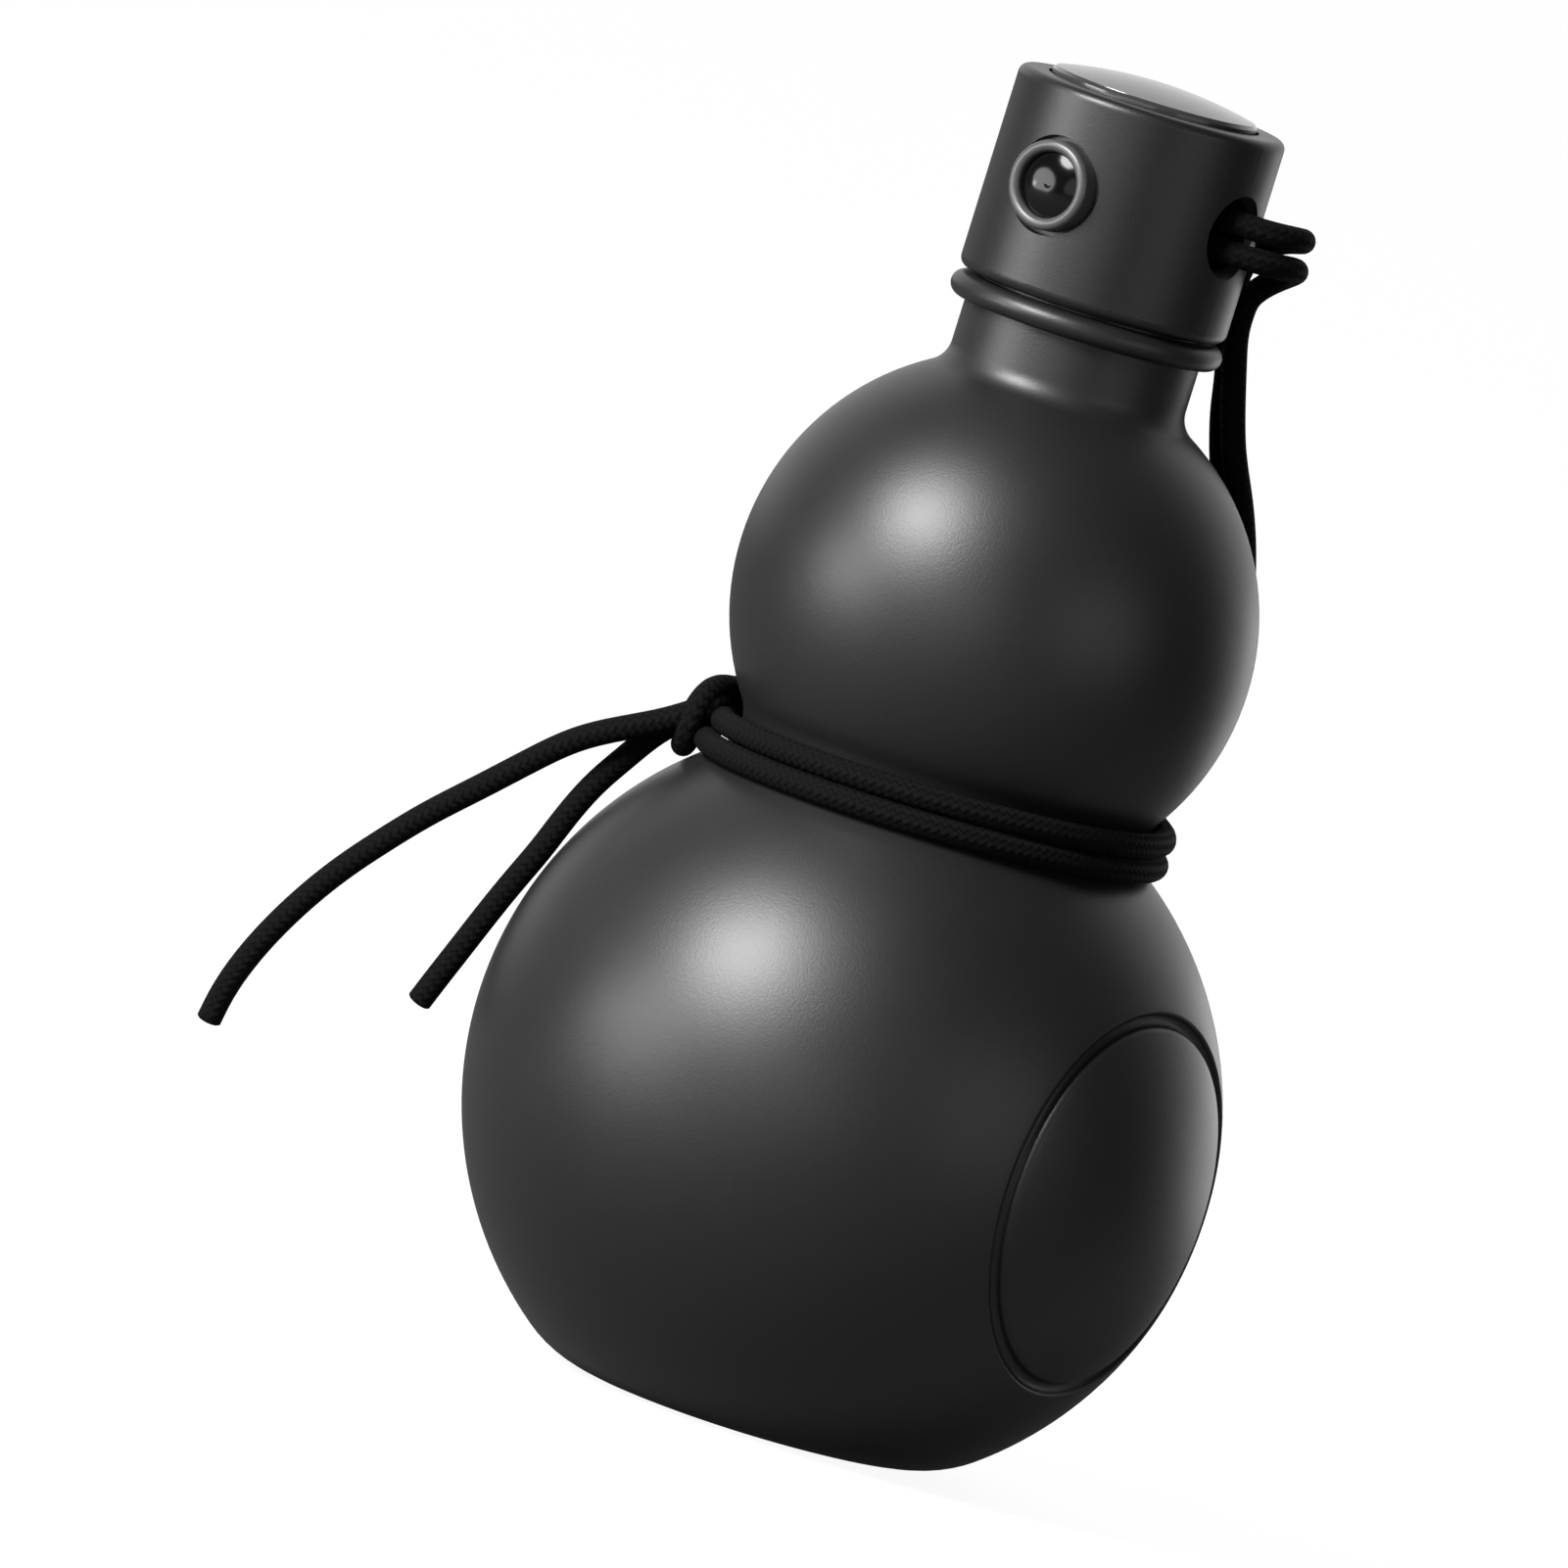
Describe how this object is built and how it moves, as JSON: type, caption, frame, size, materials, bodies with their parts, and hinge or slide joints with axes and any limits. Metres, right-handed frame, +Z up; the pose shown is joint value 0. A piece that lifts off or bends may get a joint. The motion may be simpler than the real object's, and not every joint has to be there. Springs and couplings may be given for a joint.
{
  "type": "gourd water bottle",
  "caption": "Two-ball gourd water bottle with a screw stopper cap, a sprung push-button cord lock in the cap, and a cord tied round its waist.",
  "frame": {"origin": "middle of the base, on the surface that the bottle stands on", "axes": "+Z up along the bottle's axis, -Y towards the button on the cap, +X towards the cord hole and the round recess"},
  "size_m": [0.1087, 0.09, 0.1654],
  "materials": {
    "body_plastic": "satin moulded, fine even grain",
    "cap_plastic": "satin moulded",
    "disc_plastic": "polished, slightly crowned",
    "bezel_plastic": "satin turned ring",
    "button_plastic": "high gloss",
    "seal_rubber": "matt silicone",
    "spring_steel": "drawn wire, bright",
    "cord": "round braided polyester, matt"
  },
  "bodies": {
    "bottle": {"bottle_body": "body_plastic"},
    "tie_cord": {"waist_tie": "cord", "back_tie": "cord", "knot": "cord", "tail_long": "cord", "tail_short": "cord", "upper_lead": "cord", "lower_lead": "cord"},
    "cap": {"cap_shell": "cap_plastic", "top_disc": "disc_plastic", "cap_stopper": "cap_plastic", "cap_seal": "seal_rubber", "lock_frame": "cap_plastic", "button_bezel": "bezel_plastic", "button_spring": "spring_steel", "cord_bight": "cord"},
    "push_button": {"button": "button_plastic", "clamp_collar": "spring_steel", "shaft_clip": "spring_steel"}
  },
  "joints": [
    {"name": "cap_turn", "type": "hinge", "parent": "bottle", "child": "tie_cord", "pos_m": [0, 0, 0], "axis": [0, 0, 1], "range_deg": [0, 270]},
    {"name": "cap_lift", "type": "slide", "parent": "tie_cord", "child": "cap", "axis": [0, 0, 1], "range_m": [0, 0.0091], "deforming": ["upper_lead", "lower_lead"]},
    {"name": "button_press", "type": "slide", "parent": "cap", "child": "push_button", "axis": [0, 1, 0], "range_m": [0, 0.002], "stiffness_N_per_m": 500, "springref_m": -0.002, "deforming": ["button_spring"]}
  ],
  "couplings": [
    {"joint": "cap_lift", "follows": "cap_turn", "m_per_rad": 0.0019099}
  ]
}
